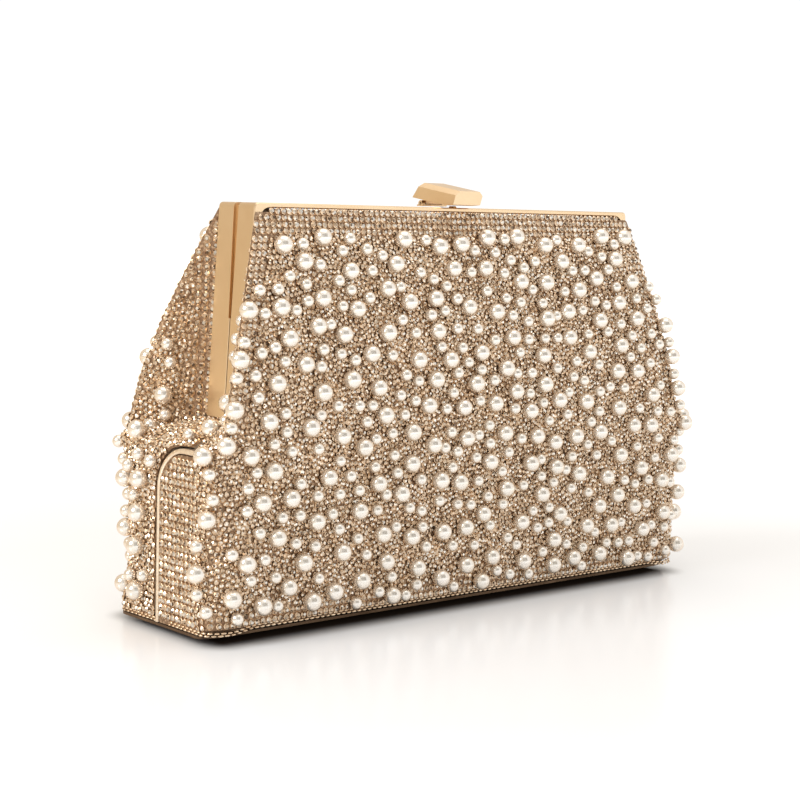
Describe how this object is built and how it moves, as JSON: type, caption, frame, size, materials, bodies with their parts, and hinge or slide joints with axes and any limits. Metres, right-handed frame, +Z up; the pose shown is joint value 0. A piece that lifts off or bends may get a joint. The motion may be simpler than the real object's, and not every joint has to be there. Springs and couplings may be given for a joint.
{
  "type": "evening bag",
  "caption": "Hard box clutch in two crystal-mesh halves, hinged along the rear bottom edge, with a gold frame and a lever clasp on its top rail.",
  "frame": {"origin": "middle of the outline's box at the plane the bag stands on", "axes": "+X along the bag, -Y towards the front face, +Z up"},
  "size_m": [0.201, 0.051, 0.1337],
  "materials": {
    "crystal_mesh": "rhinestone mesh in champagne and rose gold, sparkling",
    "stiffener_board": "pressed board under the mesh",
    "lining_cloth": "smooth satin",
    "polished_gold": "polished gold plate",
    "pale_gold_trim": "pale gold plate",
    "pin_metal": "plain",
    "base_cover": "smooth dark cover over board"
  },
  "bodies": {
    "front_half": {"front_board": "stiffener_board", "front_crystal_skin": "crystal_mesh", "front_lining": "lining_cloth", "front_frame": "polished_gold", "flap_piping_left": "pale_gold_trim", "flap_piping_right": "pale_gold_trim", "bottom_piping": "pale_gold_trim", "base_trim": "pale_gold_trim", "base_panel": "base_cover", "base_lining": "lining_cloth", "hinge_base_leaf": "pale_gold_trim", "hinge_pin": "pin_metal", "clasp_stud": "polished_gold"},
    "back_half": {"back_board": "stiffener_board", "back_crystal_skin": "crystal_mesh", "back_lining": "lining_cloth", "back_frame": "polished_gold", "hinge_back_leaf": "pale_gold_trim", "clasp_bracket": "polished_gold", "clasp_pin": "pin_metal", "gusset_left": "lining_cloth", "gusset_right": "lining_cloth"},
    "lever": {"clasp_lever": "polished_gold"}
  },
  "joints": [
    {"name": "body_hinge", "type": "hinge", "parent": "front_half", "child": "back_half", "pos_m": [0, 0.02425, 0.00235], "axis": [-1, 0, 0], "range_deg": [0, 40]},
    {"name": "clasp_hinge", "type": "hinge", "parent": "back_half", "child": "lever", "pos_m": [0, -0.00205, 0.1272], "axis": [-1, 0, 0], "range_deg": [0, 45]}
  ]
}
